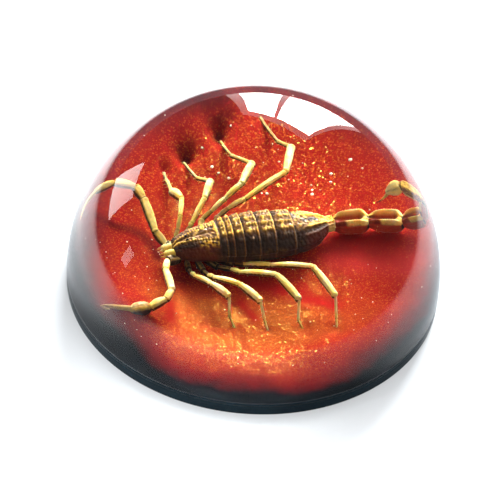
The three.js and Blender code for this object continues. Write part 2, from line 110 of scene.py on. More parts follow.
# The joints of each arm up to the knuckle, then the line of its fingers
ARMS = {
    "right": ([(-11.6, -3.9, 8.0), (-13.7, -3.1, 8.6), (-15.3, -1.6, 9.5), (-17.1, 4.6, 10.2),
               (-18.4, 6.9, 10.3), (-21.8, 7.9, 10.1), (-26.0, 6.7, 9.8)],
              [(-25.4, 6.9, 9.8), (-28.6, 4.6, 9.3), (-30.3, 1.6, 8.8)]),
    "left": ([(-11.4, -5.3, 7.9), (-13.4, -6.5, 8.4), (-13.9, -9.4, 9.1), (-13.0, -14.5, 9.4),
              (-14.0, -16.4, 8.9), (-16.6, -17.4, 7.6), (-20.2, -17.7, 6.5)],
             [(-19.7, -17.7, 6.6), (-23.4, -17.2, 6.0), (-26.6, -16.4, 5.5)]),
}
ARM_GIRTH = [0.9, 0.75, 0.82, 0.82, 0.88, 1.0]
TAIL = [(10.8, 4.3, 8.3), (16.0, 5.6, 8.2), (21.6, 6.2, 8.4), (26.8, 6.8, 10.3), (29.3, 7.2, 15.8),
        (23.1, 7.0, 17.2)]
TAIL_GIRTH = [1.6, 1.55, 1.5, 1.45, 1.3]
BULB_END, BULB_GIRTH = (20.0, 6.2, 15.2), 1.25
STING = [(20.4, 6.3, 15.4), (19.3, 5.4, 14.5), (18.1, 4.0, 14.3)]


# ---------------------------------------------------------------- small maths
def smooth(x, a, b):
    t = np.clip((np.asarray(x, float) - a) / (b - a), 0, 1)
    return t * t * (3 - 2 * t)


def bell(x, centre, width):
    return np.exp(-((np.asarray(x, float) - centre) / width) ** 2)


def off_segment(x, y, start, end):
    """Squared distance of points x, y from the straight line between two points."""
    (ax, ay), (bx, by) = start, end
    t = np.clip(((x - ax) * (bx - ax) + (y - ay) * (by - ay)) / ((bx - ax) ** 2 + (by - ay) ** 2), 0, 1)
    return (x - ax - t * (bx - ax)) ** 2 + (y - ay - t * (by - ay)) ** 2


def unit(v):
    v = np.asarray(v, float)
    return v / np.maximum(np.linalg.norm(v, axis=-1, keepdims=True), 1e-12)


def wave_noise(points, scale, seed, octaves=3):
    """Smooth repeatable noise of about -1 to 1 at points in mm, from summed plane waves."""
    local = np.random.default_rng(seed)
    total = np.zeros(len(points))
    for octave in range(octaves):
        for _ in range(7):
            direction = unit(local.normal(size=3)) * (2 * math.pi / scale) * 1.9 ** octave
            direction = direction * local.uniform(0.7, 1.3)
            total += np.sin(points @ direction + local.uniform(0, 6.28)) / (2.2 * 1.7 ** octave)
    return total / 2.2


def spline(points, step):
    """Evenly spaced points on a smooth curve through points, and their distances along it."""
    p = np.array(points, float)
    a = np.vstack([2 * p[0] - p[1], p, 2 * p[-1] - p[-2]])
    t = np.linspace(0, 1, 32, endpoint=False)[:, None]
    runs = []
    for i in range(len(p) - 1):
        p0, p1, p2, p3 = a[i:i + 4]
        runs.append(0.5 * (2 * p1 + (p2 - p0) * t + (2 * p0 - 5 * p1 + 4 * p2 - p3) * t ** 2
                           + (3 * p1 - p0 - 3 * p2 + p3) * t ** 3))
    dense = np.vstack(runs + [p[-1:]])
    along = np.r_[0, np.cumsum(np.linalg.norm(np.diff(dense, axis=0), axis=1))]
    s = np.linspace(0, along[-1], max(3, int(round(along[-1] / step)) + 1))
    return np.column_stack([np.interp(s, along, dense[:, k]) for k in range(3)]), s


def frames(path, hint=None):
    """Travel, side and up at each point of a path; side follows hint, or turns with the path."""
    travel = unit(np.gradient(path, axis=0))
    sides = []
    side = np.array(hint, float) if hint is not None else np.cross((0, 0, 1), travel[0])
    for t in travel:
        base = np.array(hint, float) if hint is not None else side
        side = unit(base - t * (base @ t))
        sides.append(side)
    sides = np.array(sides)
    return travel, sides, np.cross(travel, sides)


# ---------------------------------------------------------------- mesh making
class Skin:
    """Gathers closed sheets of quads, with three values for every point that the materials read.

    On the scorpion, tone runs from dark to golden and carries painted shade on shaded sides, pale runs from
    horn to straw, and ruddy gives a translucent red-brown: painted glow on the near walls and flank, and the
    dark red of the tail's furrows, which is their own colour.
    On the glitter layer, tone carries painted shade, pale marks patches of painted shade bare of flakes, and
    ruddy carries painted light.
    """

    def __init__(self):
        self.points, self.faces, self.tone, self.pale, self.ruddy, self.count = [], [], [], [], [], 0

    def sheet(self, rings, tone=0.5, pale=0.0, ruddy=0.0):
        """Quads between rings of points, each ring as long as the next, with both ends closed."""
        rings = np.asarray(rings, float)
        n, m, _ = rings.shape
        flat = rings.reshape(-1, 3)
        base = self.count
        index = base + np.arange(n * m).reshape(n, m)
        a, b = index[:-1], index[1:]
        quads = np.stack([a, np.roll(a, -1, 1), np.roll(b, -1, 1), b], -1).reshape(-1, 4)
        self.faces += quads.tolist()
        tones = np.broadcast_to(np.asarray(tone, float), (n, m)).reshape(-1)
        pales = np.broadcast_to(np.asarray(pale, float), (n, m)).reshape(-1)
        reds = np.broadcast_to(np.asarray(ruddy, float), (n, m)).reshape(-1)
        flat = np.vstack([flat, rings[0].mean(0), rings[-1].mean(0)])
        tones, pales, reds = (np.r_[v, v[0], v[-1]] for v in (tones, pales, reds))
        low, high = base + n * m, base + n * m + 1
        first, last = index[0], index[-1]
        self.faces += [[low, int(j), int(i)] for i, j in zip(first, np.roll(first, -1))]
        self.faces += [[high, int(i), int(j)] for i, j in zip(last, np.roll(last, -1))]
        self.points.append(flat)
        self.tone.append(tones)
        self.pale.append(pales)
        self.ruddy.append(reds)
        self.count += len(flat)

    def tube(self, path, width, height, sides=12, hint=None, tone=0.5, pale=0.0):
        """A tube along a path; width and height are half sizes at each point of it."""
        _, side, up = frames(path, hint)
        turn = (np.arange(sides) + 0.5) / sides * 2 * math.pi
        c, s = np.cos(turn)[None, :, None], np.sin(turn)[None, :, None]
        w = np.broadcast_to(np.asarray(width, float), len(path))[:, None, None]
        h = np.broadcast_to(np.asarray(height, float), len(path))[:, None, None]
        rings = path[:, None, :] + side[:, None, :] * c * w + up[:, None, :] * s * h
        tone = np.asarray(tone, float)
        self.sheet(rings, tone if tone.ndim == 2 else tone.reshape(-1, 1) * np.ones((len(path), 1)), pale)

    def build(self, name, material):
        mesh = bpy.data.meshes.new(name)
        points = np.vstack(self.points) * MM
        mesh.from_pydata(points.tolist(), [], self.faces)
        mesh.update()
        for key, values in (("tone", self.tone), ("pale", self.pale), ("ruddy", self.ruddy)):
            layer = mesh.attributes.new(key, "FLOAT", "POINT")
            layer.data.foreach_set("value", np.concatenate(values).astype(np.float32))
        mesh.polygons.foreach_set("use_smooth", [True] * len(mesh.polygons))
        piece = bpy.data.objects.new(name, mesh)
        scene.collection.objects.link(piece)
        mesh.materials.append(material)
        return piece


def lathe(name, profile, material, sides=256):
    """A closed turned piece; profile is (radius, height) in mm from the axis round to the axis."""
    turn = np.arange(sides) / sides * 2 * math.pi
    points, faces, rings = [], [], []
    for r, z in profile:
        if r < 1e-6:
            rings.append([len(points)])
            points.append((0, 0, z * MM))
        else:
            rings.append(list(range(len(points), len(points) + sides)))
            points += [(r * MM * math.cos(t), r * MM * math.sin(t), z * MM) for t in turn]
    for low, high in zip(rings, rings[1:]):
        for i in range(sides):
            j = (i + 1) % sides
            if len(low) == 1:
                faces.append((low[0], high[j], high[i]))
            elif len(high) == 1:
                faces.append((low[i], low[j], high[0]))
            else:
                faces.append((low[i], low[j], high[j], high[i]))
    mesh = bpy.data.meshes.new(name)
    mesh.from_pydata(points, [], faces)
    mesh.update()
    mesh.polygons.foreach_set("use_smooth", [True] * len(faces))
    mesh.materials.append(material)
    piece = bpy.data.objects.new(name, mesh)
    scene.collection.objects.link(piece)
    return piece


# ---------------------------------------------------------------- materials
class Nodes:
    """Short-hand for building a node tree."""

    def __init__(self, name):
        self.material = bpy.data.materials.new(name)
        self.material.use_nodes = True
        self.tree = self.material.node_tree
        self.tree.nodes.clear()
        self.out = self.tree.nodes.new("ShaderNodeOutputMaterial")
        self.place = self.add("ShaderNodeTexCoord").outputs["Object"]

    def add(self, kind, inputs=None, **settings):
        node = self.tree.nodes.new(kind)
        for key, value in settings.items():
            setattr(node, key, value)
        for key, value in (inputs or {}).items():
            self.put(node.inputs[key], value)
        return node

    def put(self, socket, value):
        if isinstance(value, bpy.types.NodeSocket):
            self.tree.links.new(value, socket)
        else:
            socket.default_value = value

    def maths(self, operation, *values, clamp=False):
        node = self.add("ShaderNodeMath", operation=operation, use_clamp=clamp)
        for socket, value in zip(node.inputs, values):
            self.put(socket, value)
        return node.outputs[0]

    def noise(self, scale, detail=4.0, rough=0.55):
        inputs = {"Vector": self.place, "Scale": scale, "Detail": detail, "Roughness": rough}
        return self.add("ShaderNodeTexNoise", inputs).outputs[0]

    def cells(self, scale, output="Color"):
        return self.add("ShaderNodeTexVoronoi", {"Vector": self.place, "Scale": scale}).outputs[output]

    def mix(self, share, a, b):
        node = self.add("ShaderNodeMix", data_type="RGBA")
        for socket, value in ((node.inputs[0], share), (node.inputs[6], a), (node.inputs[7], b)):
            self.put(socket, value)
        return node.outputs[2]

    def ramp(self, value, low, high, a=0.0, b=1.0):
        inputs = {"Value": value, "From Min": low, "From Max": high, "To Min": a, "To Max": b}
        return self.add("ShaderNodeMapRange", inputs, interpolation_type="SMOOTHSTEP").outputs[0]

    def bump(self, height, strength, distance):
        inputs = {"Height": height, "Strength": strength, "Distance": distance}
        return self.add("ShaderNodeBump", inputs).outputs[0]

    def vector(self, operation, a, b=(0.0, 0.0, 0.0), scale=1.0):
        inputs = {0: a, "Scale": scale} if operation == "SCALE" else {0: a, 1: b}
        return self.add("ShaderNodeVectorMath", inputs, operation=operation).outputs[0]

    def times(self, a, b):
        return self.maths("MULTIPLY", a, b)

    def attribute(self, name):
        return self.add("ShaderNodeAttribute", attribute_name=name).outputs["Fac"]

    def shader(self, **values):
        inputs = {key.replace("_", " "): value for key, value in values.items()}
        return self.add("ShaderNodeBsdfPrincipled", inputs)

    def finish(self, surface, volume=None):
        self.tree.links.new(surface, self.out.inputs["Surface"])
        if volume is not None:
            self.tree.links.new(volume, self.out.inputs["Volume"])
        return self.material


def rgb(r, g, b):
    return (r, g, b, 1.0)


def resin_material():
    n = Nodes("clear_resin")
    ripple = n.maths("ADD", n.noise(18.0, 2.0), n.times(n.noise(60.0, 2.0), 0.25))
    tint = n.mix(n.ramp(n.noise(25.0), 0.3, 0.7), rgb(1.0, 1.0, 1.0), rgb(0.985, 0.985, 0.97))
    # the tint halves the reflection seen straight on, and leaves the refraction alone
    bsdf = n.shader(Base_Color=tint, Roughness=0.0, IOR=1.52, Transmission_Weight=1.0,
                    Specular_Tint=rgb(0.5, 0.5, 0.5), Normal=n.bump(ripple, 0.02, 0.0006))
    tinted = n.add("ShaderNodeVolumeAbsorption", {"Color": rgb(0.98, 0.97, 0.93), "Density": 3.0})
    return n.finish(bsdf.outputs[0], tinted.outputs[0])


# Cells per metre, share of them that are flakes, how much of the pigment they hide, tilt, roughness
FLAKE_SETS = [
    (5200.0, 0.34, 0.019, 0.48, 0.24),
    (5600.0, 0.06, 0.022, 0.48, 0.24),
    (5000.0, 0.004, 0.06, 0.9, 0.30),
]


def glitter_material():
    n = Nodes("glitter_resin")
    split = n.add("ShaderNodeSeparateXYZ", {"Vector": n.place})
    x, y = n.maths("SUBTRACT", split.outputs[0], 0.0014), n.maths("ADD", split.outputs[1], 0.0022)
    radius = n.maths("SQRT", n.maths("ADD", n.times(x, x), n.times(y, y)))
    wobble = n.times(n.maths("SUBTRACT", n.noise(110.0, 3.0), 0.5), 0.006)
    front = n.ramp(y, -0.020, -0.028, 0.0, -0.0020)
    reach = n.maths("ADD", n.maths("ADD", radius, wobble), front)
    fade = n.ramp(reach, 0.0265, 0.0325)
    blush = n.ramp(reach, 0.0235, 0.0290)
    # pigment: orange and deeper red clouds, with a fine grain
    clouds = n.ramp(n.noise(55.0, 3.0), 0.38, 0.66)
    pigment = n.mix(clouds, rgb(0.31, 0.0070, 0.0085), rgb(0.39, 0.016, 0.0095))
    # painted sheen: the pigment turns gold in a crescent in front, where the flakes catch the window's light
    in_front = n.ramp(y, -0.004, -0.012, 0.0, 0.36)
    painted_sheen = n.times(in_front, n.ramp(n.noise(120.0, 2.0), 0.35, 0.60, 0.5, 1.0))
    painted_sheen = n.times(painted_sheen, n.ramp(reach, 0.0195, 0.0235, 1.0, 0.0))
    pigment = n.mix(painted_sheen, pigment, rgb(0.36, 0.10, 0.014))
    grain = n.ramp(n.noise(4600.0, 2.0), 0.30, 0.72)
    pigment = n.mix(n.times(grain, 0.55), pigment, rgb(0.19, 0.0040, 0.0075))
    dust = n.cells(6200.0)
    pick = n.add("ShaderNodeTexWhiteNoise", {"Vector": dust}).outputs["Value"]
    pigment = n.mix(n.ramp(pick, 0.72, 1.0, 0.0, 0.72), pigment, rgb(0.62, 0.095, 0.013))
    # painted light: the pigment is lifted to a bright red beside the tail
    painted_light = n.attribute("ruddy")
    pigment = n.mix(painted_light, pigment, rgb(0.85, 0.050, 0.050))
    # painted shade: the arm's shadow and the pit cores darken the pigment
    painted_shade = n.attribute("tone")
    # painted shade: the shaded patches are a plain red with no gold
    shaded_patch = n.attribute("pale")
    pigment = n.mix(n.times(shaded_patch, 0.85), pigment, rgb(0.36, 0.0065, 0.009))
    pigment = n.mix(n.times(painted_shade, 0.85), pigment, rgb(0.045, 0.003, 0.006))
    pigment = n.mix(n.times(blush, 0.8), pigment, rgb(0.15, 0.0045, 0.0080))
    pigment = n.mix(fade, pigment, rgb(0.001, 0.0025, 0.004))
    body_bump = n.bump(n.noise(700.0, 3.0), 0.25, 0.00010)
    body = n.shader(Base_Color=pigment, Roughness=0.5, Normal=body_bump)
    body.inputs["Specular IOR Level"].default_value = 0.0  # no interface: pigment set in the same resin
    # flakes: each cell is a scale with a tilt of its own, lying nearly flat, and part buried in the pigment
    layers = body.outputs[0]
    for scale, share, depth, tilt, rough in FLAKE_SETS:
        cell = n.cells(scale)
        parts = n.add("ShaderNodeSeparateColor", {"Color": cell})
        lean = n.vector("SCALE", n.vector("SUBTRACT", cell, (0.5, 0.5, 0.5)), scale=tilt)
        slope = n.vector("SCALE", n.add("ShaderNodeNewGeometry").outputs["Normal"], scale=0.1)
        flat = n.vector("ADD", slope, (0.0, 0.0, 0.9))
        normal = n.vector("NORMALIZE", n.vector("ADD", flat, lean))
        gilt = rgb(1.0, 0.66, 0.10)
        flake = n.shader(Base_Color=gilt, Metallic=1.0, Roughness=rough, Normal=normal, Specular_Tint=gilt)
        pick = n.add("ShaderNodeTexWhiteNoise", {"Vector": cell}).outputs["Value"]
        hiding = n.times(parts.outputs[0], depth * 2)  # a random value of mean 0.5 for each cell
        chosen = n.times(n.maths("LESS_THAN", pick, share), hiding)
        bare = n.maths("MAXIMUM", n.maths("MAXIMUM", fade, blush), n.maths("MAXIMUM", painted_shade, shaded_patch))
        chosen = n.times(chosen, n.maths("SUBTRACT", 1.0, bare))
        mixed = n.add("ShaderNodeMixShader", {0: chosen})
        n.tree.links.new(layers, mixed.inputs[1])
        n.tree.links.new(flake.outputs[0], mixed.inputs[2])
        layers = mixed.outputs[0]
    return n.finish(layers)


def base_material():
    n = Nodes("black_resin")
    cloud = n.ramp(n.noise(90.0, 3.0), 0.35, 0.7)
    colour = n.mix(cloud, rgb(0.006, 0.015, 0.022), rgb(0.009, 0.021, 0.029))
    rough = n.ramp(n.noise(300.0), 0.3, 0.8, 0.10, 0.22)
    bsdf = n.shader(Base_Color=colour, Roughness=rough, Normal=n.bump(n.noise(1400.0), 0.1, 0.00003))
    bsdf.inputs["Specular IOR Level"].default_value = 0.2
    return n.finish(bsdf.outputs[0])


def scorpion_material():
    n = Nodes("scorpion_cuticle")
    tone = n.attribute("tone")
    pale = n.attribute("pale")
    grain = n.noise(1500.0, 5.0, 0.6)
    blotch = n.noise(420.0, 3.0)
    contrast = n.maths("ADD", 0.12, n.times(tone, 0.5))
    speckle = n.times(n.maths("SUBTRACT", grain, 0.5), contrast)
    tone = n.maths("ADD", tone, speckle, clamp=True)
    horn = n.mix(n.ramp(tone, 0.05, 0.45), rgb(0.045, 0.027, 0.024), rgb(0.22, 0.095, 0.028))
    horn = n.mix(n.ramp(tone, 0.4, 0.9), horn, rgb(0.92, 0.55, 0.085))
    straw = n.mix(n.ramp(blotch, 0.35, 0.7), rgb(0.97, 0.66, 0.14), rgb(0.98, 0.84, 0.38))
    straw = n.mix(n.ramp(tone, 0.0, 0.4), rgb(0.13, 0.050, 0.012), straw)
    colour = n.mix(pale, horn, straw)
    # ruddy: painted glow on the near side, and the dark red of the tail's furrows
    ruddy = n.attribute("ruddy")
    colour = n.mix(ruddy, colour, rgb(0.50, 0.060, 0.030))
    rough = n.maths("ADD", grain, n.times(n.cells(2300.0, "Distance"), 0.6))
    bsdf = n.shader(Base_Color=colour, Roughness=n.ramp(grain, 0.3, 0.7, 0.28, 0.46),
                    Normal=n.bump(rough, 0.35, 0.00006), Subsurface_Weight=0.30, Subsurface_Scale=0.0005,
                    Specular_Tint=rgb(1.0, 0.82, 0.45))
    bsdf.inputs["Specular IOR Level"].default_value = 0.12
    bsdf.inputs["Subsurface Radius"].default_value = (1.0, 0.6, 0.25)
    return n.finish(bsdf.outputs[0])


def bubble_material():
    n = Nodes("trapped_flakes")
    colour = n.mix(n.noise(500.0), rgb(1.0, 0.92, 0.75), rgb(1.0, 0.80, 0.5))
    # painted glint: a faint glow for the highlights of the flakes
    bsdf = n.shader(Base_Color=colour, Roughness=0.3, Metallic=0.2,
                    Normal=n.bump(n.noise(3000.0), 0.3, 0.00005),
                    Emission_Color=rgb(1.0, 0.85, 0.6), Emission_Strength=0.3)
    return n.finish(bsdf.outputs[0])


def floor_material():
    n = Nodes("pale_floor")
    away = n.add("ShaderNodeVectorMath", {0: n.place}, operation="LENGTH").outputs["Value"]
    colour = n.mix(n.noise(9.0, 3.0), rgb(0.30, 0.32, 0.34), rgb(0.32, 0.34, 0.36))
    colour = n.mix(n.ramp(away, 0.11, 0.17), colour, rgb(0.06, 0.06, 0.065))
    # the camera sees a white sweep, with a painted contact shadow at the dome's foot; the dome sees a duller
    # floor that is dark further off, with a painted contact shadow at its foot, the dome's painted shadow in
    # front, and more painted light to the left
    seen = n.ramp(away, 0.038, 0.062, 0.45, 0.95)
    split = n.add("ShaderNodeSeparateXYZ", {"Vector": n.place})
    painted_floor_shadow = n.times(n.ramp(split.outputs[1], -0.048, -0.020, 0.12, 1.0),
                     n.ramp(split.outputs[0], -0.03, 0.03, 1.7, 0.8))
    lit = n.times(n.ramp(away, 0.042, 0.066, 0.1, 1.0), n.ramp(away, 0.11, 0.17, 1.0, 0.0))
    lit = n.times(lit, painted_floor_shadow)
    looking = n.add("ShaderNodeLightPath").outputs["Is Camera Ray"]
    strength = n.add("ShaderNodeMix", {0: looking, 2: lit, 3: seen}, data_type="FLOAT").outputs[0]
    bsdf = n.shader(Base_Color=colour, Roughness=0.9, Emission_Color=rgb(1.0, 1.0, 1.0),
                    Emission_Strength=strength)
    bsdf.inputs["Specular IOR Level"].default_value = 0.0
    return n.finish(bsdf.outputs[0])


# ---------------------------------------------------------------- dome, glitter layer, base
def relief(x, y):
    fall = smooth(np.hypot(x, y), FALL_START, FALL_END)
    sx, sy, reach, height = SWELL
    lift = height * np.exp(-((x - sx) ** 2 + (y - sy) ** 2) / reach ** 2)
    for h, kx, ky, phase in WAVES:
        lift = lift + h * np.sin(kx * x + ky * y + phase)
    for start, end in BED:
        near = np.exp(-off_segment(x, y, start, end) / BED_REACH ** 2)
        lift = np.maximum(lift, lift * (1 - near) + BED_RISE * near)
    for px, py, rx, ry, depth in PITS:
        lift = lift - depth * np.exp(-((x - px) / rx) ** 2 - ((y - py) / ry) ** 2)
    flat = np.stack([x, y, np.zeros_like(x)], -1).reshape(-1, 3)
    lift = lift + 0.02 * wave_noise(flat, 6.0, 3, 2).reshape(x.shape)
    return MIDDLE + (RIM_Z - MIDDLE) * fall + lift * (1 - fall)


def dome_radius(z):
    return DOME_R if z <= WALL else math.sqrt(DOME_R ** 2 - (z - WALL) ** 2)


def polar(radii, sides):
    turn = np.arange(sides) / sides * 2 * math.pi
    r = np.asarray(radii, float)[:, None]
    return r * np.cos(turn)[None, :], r * np.sin(turn)[None, :]


def closed_rounds(name, rings, material, *masks):
    skin = Skin()
    skin.sheet(rings, *masks)
    return skin.build(name, material)


def glow(x, y):
    """Painted light: where the pigment is lifted beside the tail, in the shadow the tail casts from the
    window.
    """
    away = off_segment(x, y, (GLOW_FROM, GLOW_Y), (GLOW_TO, GLOW_Y))
    return GLOW_SHARE * np.exp(-away / GLOW_REACH ** 2)


def shaded_patches(x, y):
    """Painted shade: patches where the layer is a plain red, bare of flakes."""
    bare = np.zeros_like(x)
    for start, end, reach in SHADED_PATCHES:
        bare = np.maximum(bare, np.exp(-off_segment(x, y, start, end) / reach ** 2))
    return bare


def painted_shade(x, y):
    """Painted shade: the right arm's shadow along the layer, and dark cores deep in the pits."""
    dark = np.zeros_like(x)
    for start, end in zip(ARM_SHADOW, ARM_SHADOW[1:]):
        dark = np.maximum(dark, ARM_SHADOW_SHARE * np.exp(-off_segment(x, y, start, end) / ARM_SHADOW_REACH ** 2))
    # painted shade: dark cores deep in the pits
    for px, py, rx, ry, depth in PITS:
        core = min(depth / 1.4, 1.0) * np.exp(-((x - px) / (0.75 * rx)) ** 2 - ((y - py) / (0.75 * ry)) ** 2)
        dark = np.maximum(dark, core if depth > 1 else 0.35 * core)
    return dark


def glitter_piece():
    sides = 288
    top_r = np.r_[np.linspace(0.35, 30, 118), np.linspace(30.2, dome_radius(RIM_Z), 34)]
    x, y = polar(top_r, sides)
    top = np.stack([x, y, relief(x, y)], -1)
    top[-1, :, 2] = RIM_Z
    low_r = [dome_radius(BASE_TOP), 20.0, 0.35]
    bx, by = polar(low_r, sides)
    low = np.stack([bx, by, np.full_like(bx, BASE_TOP)], -1)
    # from the middle of the underside out, up the wall and back in to the middle of the top
    # painted shade, patches of painted shade and painted light on the top of the layer
    dark = np.vstack([np.zeros_like(bx), painted_shade(x, y)[::-1]])
    bare = np.vstack([np.zeros_like(bx), shaded_patches(x, y)[::-1]])
    painted_light = np.vstack([np.zeros_like(bx), glow(x, y)[::-1]])
    rings = np.vstack([low[::-1], top[::-1]])
    piece = closed_rounds("glitter_fine", rings, glitter_material(), dark, bare, painted_light)
    piece.data.materials.append(base_material())
    for face in piece.data.polygons:
        if all(math.hypot(*piece.data.vertices[i].co[:2]) > 0.0399 for i in face.vertices):
            face.material_index = 1
    return piece


def resin_piece():
    sides = 288
    rim = dome_radius(RIM_Z)
    inner_r = np.r_[np.linspace(0.35, 30, 60), np.linspace(30.5, rim, 34)]
    x, y = polar(inner_r, sides)
    sink = 0.35 * smooth(rim - np.hypot(x, y), 0.0, 1.2)
    floor = np.stack([x, y, relief(x, y) - sink], -1)
    floor[-1, :, 2] = RIM_Z
    rise = np.linspace(math.asin((RIM_Z - WALL) / DOME_R), math.pi / 2, 120)[1:-1]
    ox, oy = polar(DOME_R * np.cos(rise), sides)
    outer = np.stack([ox, oy, np.broadcast_to((WALL + DOME_R * np.sin(rise))[:, None], ox.shape)], -1)
    cap = np.stack([*polar([0.2], sides), np.full((1, sides), WALL + DOME_R - 0.0005)], -1)
    return closed_rounds("clear_dome", np.vstack([floor, outer, cap]), resin_material())


def base_piece():
    edge = 0.5
    profile = [(0, 0), (30, 0), (DOME_R - edge - 0.6, 0)]
    for k in range(9):
        a = -math.pi / 2 + k / 8 * math.pi / 2
        profile.append((DOME_R - edge + edge * math.cos(a), edge + edge * math.sin(a)))
    profile += [(DOME_R, 1.2), (DOME_R, WALL), (dome_radius(BASE_TOP), BASE_TOP)]
    profile += [(30, BASE_TOP), (0, BASE_TOP)]
    return lathe("base_fine", profile, base_material())


# ---------------------------------------------------------------- scorpion
def girth(s):
    table = np.array(GIRTH)
    return np.interp(s, table[:, 0], table[:, 1]), np.interp(s, table[:, 0], table[:, 2])


def trunk(skin):
    path, s = spline(SPINE, 0.10)
    s = s * (TRUNK_END / s[-1])
    keep = s >= 0.8
    _, side, up = frames(path)
    path, side, up, s = path[keep], side[keep], up[keep], s[keep]
    sides = 128
    turn = np.arange(sides) / sides * 2 * math.pi
    c, n = np.cos(turn)[None, :], np.sin(turn)[None, :]
    width, height = (v[:, None] for v in girth(s))
    d = np.zeros((len(s), sides))
    tone = np.full((len(s), sides), 0.30)
    rims = np.zeros_like(tone)
    back = smooth(n, 0.0, 0.35) * np.ones_like(d)
    grains = 0.60 + 0.40 * np.sin(s * 2 * math.pi / 0.42)[:, None]
    plain = path[:, None, :] + side[:, None, :] * (c * width)[..., None]
    plain = plain + up[:, None, :] * (n * height)[..., None]
    spots = wave_noise(plain.reshape(-1, 3), 0.85, 31, 2).reshape(d.shape)
    # head shield: a furrow along the middle, crests beside it, fine granules
    shield = (1 - smooth(s, 7.6, 8.0))[:, None]
    spread = 0.15 + 0.036 * s[:, None]
    outer = 0.60 + 0.10 * np.sin(s * 0.9)[:, None]
    crest = bell(np.abs(c), spread, 0.06) + 0.9 * bell(np.abs(c), outer, 0.06) * smooth(s, 2.6, 4.0)[:, None]
    cross = bell(s, 5.9, 0.16)[:, None] * smooth(np.abs(c), 0.2, 0.35)
    shape = 0.24 * crest * grains - 0.16 * bell(c, 0, 0.07)
    shape = shape - 0.12 * bell(s, 5.1, 0.5)[:, None] * bell(c, 0, 0.5)
    shape = shape + 0.12 * bell(s, 7.7, 0.2)[:, None] + 0.10 * cross
    d += shield * back * shape
    tone += shield * back * (0.85 * crest * grains + 0.55 * bell(s, 7.7, 0.22)[:, None] + 0.5 * cross
                             + 0.30 * smooth(spots, -0.1, 0.7))
    # back plates
    for i, (start, end) in enumerate(zip(PLATES, PLATES[1:])):
        t = ((s - start) / (end - start))[:, None]
        on = ((s >= start) & (s < end))[:, None].astype(float)
        last = i == 6
        rise = 0.26 * smooth(t, 0.0, 0.9) - 0.18 * (1 - smooth(t, 0.0, 0.16))
        rim = bell(s, end - 0.2, 0.10)[:, None] * (0.75 + 0.25 * np.sin(turn * 50)[None, :])
        middle = bell(c, 0, 0.05)
        rows = middle + bell(np.abs(c), 0.30, 0.085) + 0.9 * bell(np.abs(c), 0.60, 0.085)
        if last:
            rows = 1.5 * bell(np.abs(c), 0.40 - 0.10 * t, 0.07) + 1.1 * bell(np.abs(c), 0.74 - 0.12 * t, 0.07)
        length = smooth(t, 0.16, 0.34) * (1 - (0.15 if last else 1.0) * smooth(t, 0.84, 0.97))
        row = rows * length * (0.9 if last else 0.55 + 0.45 * grains)
        across = bell(t, 0.42, 0.10) * (0.5 + 0.5 * smooth(spots, -0.4, 0.4)) * (0.0 if last else 1.0)
        d += on * back * (rise * (0.5 if last else 1.0) + 0.24 * row + 0.10 * across
                          + (0.04 if last else 0.12) * rim)
        tone += on * back * (0.50 * row + 0.26 * across + 0.60 * rim * (0.3 if last else 1.0)
                             + 0.20 * smooth(spots, 0.0, 0.8) - 0.30 * (1 - smooth(t, 0.0, 0.15)))
        rims += on * rim * (0.0 if last else 1.0)
        if last:
            slit = bell(c, 0.06, 0.10) * smooth(t, 0.12, 0.3) * (1 - smooth(t, 0.55, 0.72))
            tone += on * back * (0.12 + 0.25 * smooth(spots, -0.3, 0.6) + 0.45 * smooth(t, 0.55, 1.0)
                                 - 0.7 * slit)
    tone = tone - 0.16 * smooth(c, 0.05, 0.45) * smooth(20.5 - s, 0.0, 2.0)[:, None]
    # painted shade: the near side, turned from the window, is darkened
    tone = 0.02 + (tone - 0.02) * (0.14 + 0.86 * smooth(c, -0.62, -0.16)) + rims * 0.24 * smooth(-c, 0.1, 0.5)
    # the golden rear corner of the head shield
    corner = smooth(s, 4.3, 5.3)[:, None] * (1 - smooth(s, 7.5, 7.75))[:, None] * bell(c, -0.60, 0.17)
    tone = tone + 0.85 * corner * smooth(spots, -0.5, 0.3) * back
    # side membrane fold and belly plates
    d += -0.16 * bell(n, 0.02, 0.12) * smooth(s, 8.0, 9.0)[:, None]
    for start in (11.2, 14.0, 17.0, 19.6):
        d += -0.10 * bell(s, start, 0.16)[:, None] * smooth(-n, 0.1, 0.4)
    tone += 0.16 * smooth(-n, 0.1, 0.6)
    rise = np.where(n > 0, n * (height + d), -0.85 * height * np.abs(n) ** 0.75 - d * 0.8)
    rings = path[:, None, :] + side[:, None, :] * (c * (width + d))[..., None]
    rings = rings + up[:, None, :] * rise[..., None]
    lumps = wave_noise(rings.reshape(-1, 3), 0.55, 5, 3).reshape(d.shape)
    out = side[:, None, :] * c[..., None] + up[:, None, :] * n[..., None]
    rings = rings + out * (0.055 * lumps * (0.4 + back))[..., None]
    tone = tone + 0.14 * lumps * (0.25 + 0.75 * smooth(c, -0.6, -0.1)) + 0.5 * smooth(s, 24.3, 24.7)[:, None]
    # painted glow: a translucent red-brown on the near flank of the head and the trunk's rear, for light
    # through the cuticle
    painted_flank_glow = (1 - smooth(s, 6.0, 8.6) + smooth(s, 19.8, 21.5) * (1 - smooth(s, 24.3, 24.7)))[:, None]
    painted_flank_glow = 0.16 * painted_flank_glow * smooth(-c, 0.55, 0.8)
    skin.sheet(rings, np.clip(tone, 0, 1), 0.8 * smooth(s, 24.3, 24.7)[:, None], painted_flank_glow)


